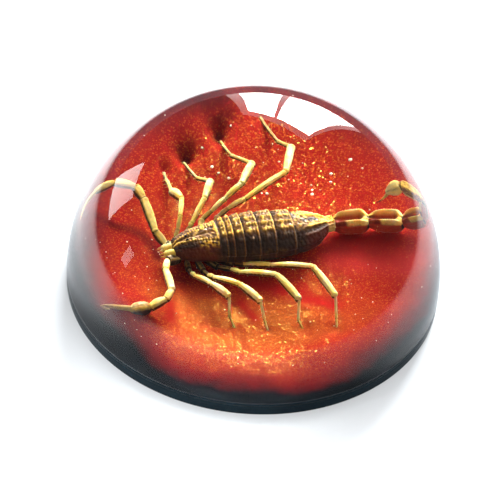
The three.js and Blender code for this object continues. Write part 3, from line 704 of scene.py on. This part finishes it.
def jointed(skin, a, b, wide, tall, profile, sides=18, bow=0.0, tone=0.72, pale=1.0, ridge=0.0, joints=True):
    """A limb segment from a to b; profile lists (share of length, share of girth)."""
    a, b = np.array(a, float), np.array(b, float)
    along = b - a
    length = np.linalg.norm(along)
    t = np.linspace(profile[0][0], profile[-1][0], max(12, int(length / 0.18)))
    t = np.unique(np.r_[t, [p[0] for p in profile]])
    travel = along / length
    side = unit(np.cross((0, 0, 1), travel))
    up = np.cross(travel, side)
    path = a + t[:, None] * along + up * (bow * np.sin(math.pi * np.clip(t, 0, 1)))[:, None]
    g = np.interp(t, [p[0] for p in profile], [p[1] for p in profile])
    turn = (np.arange(sides) + 0.5) / sides * 2 * math.pi
    c, s = np.cos(turn)[None, :], np.sin(turn)[None, :]
    edges = (bell(turn, math.radians(48), 0.22) + bell(turn, math.radians(132), 0.22)
             + 0.6 * bell(turn, math.radians(222), 0.25) + 0.6 * bell(turn, math.radians(318), 0.25))[None, :]
    middle = smooth(t, 0.02, 0.14)[:, None] * (1 - smooth(t, 0.88, 0.99))[:, None]
    swell = 1 + ridge * (edges - 0.35) * middle
    w, h = (g * wide)[:, None] * swell, (g * tall)[:, None] * swell
    rings = path[:, None, :] + side * (c * w)[..., None] + up * (s * h)[..., None]
    lumps = wave_noise(rings.reshape(-1, 3), 0.7, 11, 2).reshape(w.shape)
    out = side * c[..., None] + up * s[..., None]
    rings = rings + out * (0.03 * lumps * min(wide * 1.4, 1.0))[..., None]
    ends = (bell(t * length, 0.02, 0.09) + bell((1 - t) * length, 0.0, 0.08))[:, None] if joints else 0
    tone = tone + (1.6 * ridge * (edges - 0.5)) * middle + 0.12 * lumps - 0.60 * ends
    # painted shade: the underside of every segment is darkened
    tone = tone - 0.78 * smooth(-s, -0.60, 0.0)
    skin.sheet(rings, np.clip(tone, 0, 1), pale)


# Share of length, share of girth
LIMB = [(-0.03, 0.40), (0.0, 0.70), (0.04, 0.80), (0.08, 0.74), (0.25, 0.88), (0.5, 1.0),
        (0.74, 0.98), (0.88, 0.88), (0.94, 0.98), (0.985, 0.90), (1.01, 0.5)]
THIN = [(-0.03, 0.5), (0.0, 0.9), (0.08, 0.92), (0.4, 0.84), (0.8, 0.78), (0.93, 0.95),
        (0.99, 0.85), (1.02, 0.4)]
HAND = [(-0.04, 0.35), (0.0, 0.5), (0.08, 0.72), (0.3, 0.98), (0.55, 1.08), (0.8, 0.98),
        (1.0, 0.72), (1.08, 0.4)]


def hair(skin, root, direction, length, thick=0.022, tone=0.55):
    direction = unit(direction)
    path = np.array([root, np.array(root) + direction * length * 0.5, np.array(root) + direction * length])
    taper = [thick, thick * 0.7, thick * 0.12]
    skin.tube(path, taper, taper, sides=4, tone=tone, pale=0.7)


def leg(skin, joints, far):
    for k in range(7):
        a, b = joints[k], joints[k + 1]
        g = LEG_GIRTH[k]
        if k < 5:
            fat = {2: 1.1, 3: 1.22, 4: 1.42}.get(k, 1.0)
            # painted shade: the bases of the near legs, under the body, are dark
            jointed(skin, a, b, g * 0.60 * fat, g * 0.68 * fat, LIMB, bow=(0.0, 0.0, 0.05, 0.12, 0.12)[k],
                    ridge=0.16, tone=0.84 if k > 1 else (0.62 if far else 0.30),
                    pale=1.0 if k > 1 else (0.5 if far else 0.15))
        else:
            tone = (0.58 if k == 5 else 0.30) if far else (0.84 if k == 5 else 0.50)
            thin = g * (0.9 if far else 0.72)
            jointed(skin, a, b, thin, thin, THIN, sides=12, tone=tone, pale=0.45 if far else 0.9)
            spread = unit(np.cross(np.subtract(b, a), (0, 0, 1)))
            if k == 5:
                for turn in (-1, 1):
                    tip = np.array(b) + (spread * 0.32 * turn + unit(np.subtract(b, a)) * 0.45)
                    spur = np.array([b, (np.array(b) + tip) / 2, tip])
                    skin.tube(spur, [0.10, 0.07, 0.01], [0.10, 0.07, 0.01], sides=6, tone=0.5, pale=0.8)
    tip, before = np.array(joints[-1]), np.array(joints[-2])
    ahead = unit(tip - before)
    spread = unit(np.cross(ahead, (0, 0, 1)))
    for turn in (-1, 1):
        hook = [tip - ahead * 0.1, tip + ahead * 0.22 + spread * 0.2 * turn,
                tip + ahead * 0.38 + spread * 0.30 * turn - np.array((0, 0, 0.12))]
        path, _ = spline(hook, 0.06)
        taper = np.linspace(0.09, 0.012, len(path))
        skin.tube(path, taper, taper, sides=6, tone=0.3, pale=0.6)
    for k in (3, 4, 5, 6):
        a, b = np.array(joints[k], float), np.array(joints[k + 1], float)
        travel = unit(b - a)
        for _ in range(9):
            t = rng.uniform(0.12, 0.95)
            out = unit(np.cross(travel, rng.normal(size=3)))
            root = a + (b - a) * t + out * LEG_GIRTH[k] * 0.8
            hair(skin, root, out + travel * 0.5, rng.uniform(0.3, 0.55))


def arm(skin, joints, fingers, near):
    for k in range(5):
        g = ARM_GIRTH[k] * (1.0 if near or k < 4 else 0.84)
        # painted light and shade: the near arm is paler than the far one, and the bases of both are dark
        tone, pale = ((0.86, 0.95) if near else (0.66, 0.5)) if k else (0.3, 0.3)
        jointed(skin, joints[k], joints[k + 1], g * 0.86, g * 0.92, LIMB, sides=24, ridge=0.26,
                bow=0.1 if k in (2, 4) else 0.0, tone=tone, pale=pale)
    g = ARM_GIRTH[5] * (1.2 if near else 0.74)
    dull = 0.60 if near else 0.62
    jointed(skin, joints[5], joints[6], g * 0.9, g, HAND, sides=28, ridge=0.2, tone=dull,
            pale=0.2 if near else 0.5, joints=False)
    for split, reach in ((-1, 0.96), (1, 1.0)):
        line = [(x, y, z + split * gap) for (x, y, z), gap in zip(fingers, (0.3, 0.5, 0.3))]
        path, s = spline(line, 0.15)
        t = s / s[-1]
        keep = t <= reach
        path, t = path[keep], t[keep]
        hook = -split * 0.28 * smooth(t, 0.8, 1.0)
        path = path + np.outer(hook, (0, 0, 1))
        g = (0.66 if near else 0.46) * (1 - 0.82 * t ** 1.3)
        skin.tube(path, g * 0.9, g, sides=14, tone=dull - 0.2 * t, pale=0.2 if near else 0.5)
        for u in np.linspace(0.15, 0.9, 16):
            i = int(u * (len(path) - 1))
            inward = np.array((0, 0, -split))
            root = path[i] + inward * g[i] * 0.85
            skin.tube(np.array([root, root + inward * 0.06, root + inward * 0.11]), [0.07, 0.05, 0.015],
                      [0.07, 0.05, 0.015], sides=6, hint=(1, 0, 0), tone=0.3, pale=0.3)


# Half outline across a tail segment, from the furrow in its back to its belly: share of half width, of height
OUTLINE = [(0.0, 0.34), (0.20, 0.40), (0.40, 0.66), (0.56, 0.96), (0.68, 1.04), (0.80, 0.90), (0.88, 0.60),
           (0.97, 0.28), (0.93, 0.02), (0.97, -0.30), (0.86, -0.62), (0.62, -0.86), (0.48, -0.93),
           (0.26, -0.86), (0.0, -0.88)]


def tail_segment(skin, a, b, half, last):
    a, b = np.array(a, float), np.array(b, float)
    along = b - a
    length = np.linalg.norm(along)
    travel = along / length
    t = np.linspace(-0.06, 1.06, max(40, int(length / 0.125)))
    side = unit(np.array((0.0, 1.0, 0.0)) - travel * travel[1])
    up = np.cross(travel, side)
    half_line = np.array(OUTLINE)
    line = np.vstack([half_line, half_line[-2:0:-1] * (-1, 1)])
    ring, _ = spline([(x, z, 0) for x, z in np.vstack([line, line[:1]])], 0.095)
    ring = ring[:-1, :2]
    x, z = ring[:, 0][None, :], ring[:, 1][None, :]
    tt = t[:, None]
    body = np.interp(t, [-0.06, 0.0, 0.06, 0.18, 0.45, 0.78, 0.90, 0.97, 1.06],
                     [0.40, 0.54, 0.68, 0.88, 1.0, 1.02, 0.92, 0.72, 0.42])[:, None] * half
    grains = 0.5 + 0.5 * np.sin(t * length * 2 * math.pi / 0.40)[:, None]
    top = smooth(z, 0.3, 0.6)
    inner = 1 - smooth(np.abs(x), 0.30, 0.62)
    furrow = np.where(z > 0, inner, 0)
    # the furrow closes towards both ends, and the crests stand highest in the middle
    open_end = smooth(tt, 0.0, 0.3)
    middle = (0.25 + 0.75 * open_end) * (1 - smooth(tt, 0.70, 0.90))
    lift = z + furrow * (0.60 + 0.10 * last) * (1 - middle) - 0.18 * top * (1 - inner) * (1 - open_end)
    lift = lift - 0.30 * smooth(z, 0.3, 0.8) * smooth(tt, 0.80, 1.02)
    crest = bell(np.abs(x), 0.66, 0.24) * smooth(z, 0.45, 0.8)
    bright = np.where(x < 0, bell(x, -0.60, 0.30), bell(x, 0.70, 0.30)) * smooth(z, 0.30, 0.6)
    lift = lift + crest * (0.12 * np.sin(math.pi * np.clip(tt, 0, 1)) + 0.05 * grains)
    bow = up * (half * 0.08 * np.sin(math.pi * np.clip(t, 0, 1)))[:, None]
    centre = a + t[:, None] * along - bow
    rings = (centre[:, None, :] + side * (x * body * 0.98)[..., None] + up * (lift * body * 0.92)[..., None])
    lumps = wave_noise(rings.reshape(-1, 3), 0.55, 21, 3).reshape(lift.shape)
    rings = rings + (side * x[..., None] + up * lift[..., None]) * (0.035 * lumps)[..., None]
    keel = (bell(z, 0.28, 0.12) + bell(z, -0.32, 0.14)) * smooth(np.abs(x), 0.8, 0.95)
    close = smooth(tt, 0.74, 0.86) * (1 - smooth(tt, 0.96, 1.0)) * smooth(z, 0.2, 0.5)
    # painted shade: the start of the near crest is darkened
    painted_near_shade = smooth(-x, 0.0, 0.3) * (1 - smooth(tt + 0.12 * x, 0.22, 0.34))
    tone = 0.42 + 0.85 * bright * (1 - painted_near_shade) - 0.16 * painted_near_shade + 0.30 * last
    tone = tone + 0.16 * keel * middle + 0.14 * lumps
    tone = tone - 0.34 * furrow * middle + 0.45 * close * (1 - crest)
    # painted shade: the near wall under the crest is darkened
    tone = tone - 0.18 * smooth(-x, 0.6, 0.85) * smooth(0.9 - z, 0.0, 0.25)
    tone = tone - 0.35 * (bell(tt, 0.0, 0.03) + bell(tt, 1.0, 0.025))
    # ruddy: painted glow on the near wall and the start of the near crest, and the furrow's own dark red
    wall = smooth(-x, 0.60, 0.80) * smooth(0.66 - z, 0.0, 0.25) + 0.5 * painted_near_shade + 0.8 * furrow * middle
    wall = 0.9 * np.clip(wall, 0, 1) * (1 - smooth(tt, 0.90, 0.98)) * (1 - 0.7 * last)
    pale = np.broadcast_to(0.95 * bright * (1 - painted_near_shade), tone.shape)
    skin.sheet(rings, np.clip(tone, 0, 1), pale, wall)


def tail(skin):
    for k, (a, b) in enumerate(zip(TAIL, TAIL[1:])):
        tail_segment(skin, a, b, TAIL_GIRTH[k], float(k == 4))
    a, b = np.array(TAIL[-1], float), np.array(BULB_END, float)
    t = np.linspace(-0.1, 1.05, 40)
    g = np.interp(t, [-0.1, 0.0, 0.12, 0.3, 0.5, 0.75, 0.95, 1.05],
                  [0.3, 0.55, 0.82, 1.0, 1.02, 0.82, 0.5, 0.36])
    path = a + t[:, None] * (b - a)
    # the bulb is darker in a band along its near lower side, and underneath
    turn = (np.arange(32) + 0.5)[None, :] / 32 * 2 * math.pi
    dark_band = bell(turn, 3.45 + 0.5 * t[:, None], 0.20) * smooth(t, 0.05, 0.25)[:, None]
    dark_band = dark_band + 0.5 * bell(turn, 4.6, 0.5)
    skin.tube(path, g * BULB_GIRTH * 0.95, g * BULB_GIRTH, sides=32, hint=(0, 1, 0),
              tone=0.9 - 0.7 * dark_band, pale=0.7)
    path, s = spline([tuple(a + 0.72 * (b - a))] + STING, 0.08)
    t = s / s[-1]
    g = 0.42 * (1 - t) ** 1.2 + 0.03 * (1 - t) + 0.012
    skin.tube(path, g, g, sides=16, tone=0.66 - 0.62 * smooth(t, 0.55, 0.85), pale=0.15)
    for _ in range(40):
        k = rng.integers(0, 5)
        p, q = np.array(TAIL[k], float), np.array(TAIL[k + 1], float)
        out = unit(np.cross(q - p, rng.normal(size=3)))
        root = p + (q - p) * rng.uniform(0.1, 0.9) + out * TAIL_GIRTH[k] * 0.86
        hair(skin, root, out, rng.uniform(0.35, 0.7))


def head(skin):
    path, _ = spline(SPINE, 0.1)
    _, side, up = frames(path)
    ahead = unit(path[0] - path[5])
    for hand in (-1, 1):
        root = path[14] + side[14] * hand * 0.72
        tip = path[0] + side[0] * hand * 0.66 + ahead * 0.7
        jaw = [(-0.02, 0.6), (0.1, 0.9), (0.4, 1.0), (0.75, 0.96), (0.93, 0.8), (1.0, 0.45)]
        jointed(skin, root, tip, 0.66, 0.68, jaw, sides=24, tone=0.95, pale=0.6, joints=False)
        for split in (-1, 1):
            end = tip + ahead * 0.72 + side[0] * (split * 0.18 - hand * 0.05) - up[0] * 0.1
            start = tip + side[0] * split * 0.24 - ahead * 0.2
            line, _ = spline([start, (start + end) / 2 + side[0] * split * 0.12, end], 0.08)
            taper = np.linspace(0.26, 0.03, len(line))
            skin.tube(line, taper, taper, sides=10, tone=0.45, pale=0.5)
    # middle eyes on a small mound, side eyes at the front corners
    for place, apart, size in ((31, 0.42, 0.24), (12, 1.25, 0.13), (15, 1.45, 0.12), (18, 1.62, 0.11)):
        w, h = girth(place * 0.1)
        for hand in (-1, 1):
            c = min(0.95, apart / w)
            centre = path[place] + side[place] * hand * apart + up[place] * (h * math.sqrt(1 - c * c) + 0.02)
            t = np.linspace(-0.96, 0.96, 9)
            ball = centre + np.outer(t * size, up[place])
            ring = size * np.sqrt(1 - t ** 2)
            skin.tube(ball, ring, ring, sides=12, hint=side[place], tone=0.0)


def comb(skin):
    """The pair of combs under the body, behind the last legs."""
    path, _ = spline(SPINE, 0.1)
    _, side, up = frames(path)
    i = 84  # the point of the back line over the combs
    for hand in (-1, 1):
        root = path[i] - up[i] * 2.2 + side[i] * hand * 0.5
        end = root + side[i] * hand * 2.6 + unit(path[i + 5] - path[i]) * 1.6 - up[i] * 0.1
        line, _ = spline([root, (root + end) / 2 + unit(path[i] - path[i + 5]) * 0.2, end], 0.15)
        skin.tube(line, 0.28, 0.16, sides=10, tone=0.6, pale=0.6)
        back = unit(path[i + 5] - path[i])
        for u in np.linspace(0.08, 0.97, 18):
            p = line[int(u * (len(line) - 1))]
            tooth = np.array([p, p + back * 0.45, p + back * 0.8])
            skin.tube(tooth, [0.07, 0.06, 0.03], [0.08, 0.07, 0.03], sides=6, hint=side[i], tone=0.66,
                      pale=0.8)


def scorpion_piece():
    skin = Skin()
    trunk(skin)
    head(skin)
    comb(skin)
    for joints in LEGS["right"]:
        leg(skin, joints, True)
    for joints in LEGS["left"]:
        leg(skin, joints, False)
    for hand, (joints, fingers) in ARMS.items():
        arm(skin, joints, fingers, hand == "left")
    tail(skin)
    return skin.build("scorpion_fine", scorpion_material())


# Trapped flakes and small bubbles just over the glitter: x, y, height over it, size
FLAKES = [(-6.6, 14.3, 0.8, 0.22), (-5.7, 13.5, 0.7, 0.16), (-4.3, 12.6, 0.9, 0.20), (-7.9, 17.2, 0.9, 0.15),
          (2.2, 16.2, 0.8, 0.14), (1.0, 10.5, 0.7, 0.24), (0.3, 10.5, 0.7, 0.14), (7.1, 11.3, 0.7, 0.24),
          (11.2, 17.6, 0.8, 0.26), (9.1, 15.2, 0.8, 0.20), (9.3, 13.8, 0.8, 0.18), (7.0, 12.1, 0.7, 0.15),
          (13.0, 16.4, 0.8, 0.13), (6.8, 12.9, 0.8, 0.13)]


def flake_piece():
    skin = Skin()
    spots = list(FLAKES)
    for _ in range(120):
        r, a = 31 * math.sqrt(rng.uniform(0.01, 1)), rng.uniform(0, 2 * math.pi)
        spots.append((r * math.cos(a), r * math.sin(a), rng.uniform(0.0, 0.25), rng.uniform(0.05, 0.10)))
    for x, y, lift, size in spots:
        z = float(relief(np.array([[x]]), np.array([[y]]))[0, 0])
        t = np.linspace(-0.95, 0.95, 7)
        ball = np.array([x, y, z + lift]) + np.outer(t * size * 0.5, (0, 0, 1))
        ring = size * np.sqrt(1 - t ** 2)
        skin.tube(ball, ring, ring * rng.uniform(0.75, 1.0), sides=10, hint=(1, 0, 0))
    return skin.build("trapped_flakes", bubble_material())


pieces = {
    "glitter": glitter_piece(),
    "resin": resin_piece(),
    "base": base_piece(),
    "scorpion": scorpion_piece(),
    "flakes": flake_piece(),
}
for piece in pieces.values():
    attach(piece, "root")
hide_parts("glitter_layer")
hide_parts("clear_dome_lower", "clear_dome_upper")
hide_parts("black_base")
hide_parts("scorpion")

# ---------------------------------------------------------------- floor, light and camera
mesh = bpy.data.meshes.new("floor")
mesh.from_pydata([(-2, -2, 0), (2, -2, 0), (2, 2, 0), (-2, 2, 0)], [], [(0, 1, 2, 3)])
mesh.materials.append(floor_material())
floor = bpy.data.objects.new("floor", mesh)
scene.collection.objects.link(floor)


def ground(azimuth, distance):
    """A point on the floor: azimuth from +Y towards +X in degrees, distance in m."""
    return Vector((math.sin(math.radians(azimuth)) * distance, math.cos(math.radians(azimuth)) * distance, 0))


def window(name, left, right, low, high, radiance):
    """A window-like area light over the line from left to right, between two heights in m."""
    start, end = ground(*left), ground(*right)
    across = end - start
    middle = (start + end) / 2 + Vector((0, 0, (low + high) / 2))
    light = bpy.data.lights.new(name, "AREA")
    light.shape = "RECTANGLE"
    light.size, light.size_y = across.length, high - low
    light.energy = radiance * light.size * light.size_y * math.pi
    x = across.normalized()
    z = x.cross(Vector((0, 0, 1)))
    if z.dot(middle) < 0:
        x, z = -x, -z
    lamp = bpy.data.objects.new(name, light)
    lamp.matrix_world = Matrix.Translation(middle) @ Matrix((x, Vector((0, 0, 1)), z)).transposed().to_4x4()
    scene.collection.objects.link(lamp)


def on_wall(azimuth, left, right):
    """Where the straight wall from left to right is met in the direction azimuth."""
    (x1, y1, _), (x2, y2, _), (sx, sy, _) = ground(*left), ground(*right), ground(azimuth, 1.0)
    return azimuth, (x1 * y2 - x2 * y1) / ((y2 - y1) * sx - (x2 - x1) * sy)


# The rear window's wall, and the bright sky in its upper half; a bar parts its panes at 3.35 to 5.05 degrees
REAR = (-6.5, 4.8), (22.4, 3.0)
SKY_LOW, SKY_HIGH = 12, 176
for level, low, high, radiance in (("low", 0.06, 1.2, SKY_LOW), ("high", 1.2, 2.36, SKY_HIGH)):
    window("rear_pane_left_" + level, REAR[0], on_wall(3.35, *REAR), low, high, radiance)
    window("rear_pane_right_" + level, on_wall(5.05, *REAR), REAR[1], low, high, radiance)
window("rear_surround", (-9.5, 5.3), (24.5, 3.1), 0.03, 3.0, 1.8)
window("left_pane", (-70, 3), (-51, 3), 0.04, 0.93, 8)
window("small_left_pane", (-99, 3), (-93, 3), 0.16, 0.62, 5)

# a small lamp over the camera that fills the dome's shadow on the floor in front
lamp = bpy.data.lights.new("floor_fill", "SPOT")
lamp.shadow_soft_size = 0.0
lamp.energy, lamp.spot_size, lamp.spot_blend = 14.0, math.radians(28), 1.0
fill = bpy.data.objects.new("floor_fill", lamp)
fill.location = (-0.06, -0.31, 0.30)
fill.rotation_euler = (Vector((-0.045, -0.125, 0.0)) - fill.location).to_track_quat("-Z", "Y").to_euler()
scene.collection.objects.link(fill)

# the surround is bright to the camera, and dim where the dome mirrors it
world = bpy.data.worlds.new("studio")
world.use_nodes = True
nodes, links = world.node_tree.nodes, world.node_tree.links
nodes["Background"].inputs[0].default_value = (0.9, 0.96, 1.0, 1)
rays = nodes.new("ShaderNodeLightPath").outputs
strength = 0.7
for kind, factor in (("Is Camera Ray", 0.2), ("Is Glossy Ray", -0.58)):
    step = nodes.new("ShaderNodeMath")
    step.operation = "MULTIPLY_ADD"
    links.new(rays[kind], step.inputs[0])
    step.inputs[1].default_value = factor
    if isinstance(strength, float):
        step.inputs[2].default_value = strength
    else:
        links.new(strength, step.inputs[2])
    strength = step.outputs[0]
links.new(strength, nodes["Background"].inputs[1])
scene.world = world

# The camera stands at RISE over a point TARGET_Z above the table; its aim was fitted to the dome's outline
RISE, PITCH, YAW, ROLL = (math.radians(v) for v in (40.915, 1.1076, -0.2503, 4.517))
DISTANCE, TARGET_Z = 320.0, 16.0
FOCAL_PX, PHOTO_PX = 1527.06, 500
place = Vector((0, -math.cos(RISE) * DISTANCE, TARGET_Z + math.sin(RISE) * DISTANCE)) * MM
down = RISE + PITCH
ahead = Vector((math.sin(YAW) * math.cos(down), math.cos(YAW) * math.cos(down), -math.sin(down)))
right = ahead.cross(Vector((0, 0, 1))).normalized()
above = right.cross(ahead)
right, above = (math.cos(ROLL) * right + math.sin(ROLL) * above,
                math.cos(ROLL) * above - math.sin(ROLL) * right)
lens = bpy.data.cameras.new("camera")
lens.sensor_width = 36
lens.lens = FOCAL_PX * lens.sensor_width / PHOTO_PX
lens.clip_start = 0.01
camera = bpy.data.objects.new("camera", lens)
camera.matrix_world = Matrix.Translation(place) @ Matrix((right, above, -ahead)).transposed().to_4x4()
scene.collection.objects.link(camera)
scene.camera = camera

scene.view_settings.view_transform = "Standard"
scene.cycles.use_denoising = True
scene.cycles.max_bounces = 16
scene.cycles.transmission_bounces = 12
scene.cycles.diffuse_bounces = 4
scene.cycles.glossy_bounces = 6
scene.cycles.sample_clamp_indirect = 60.0
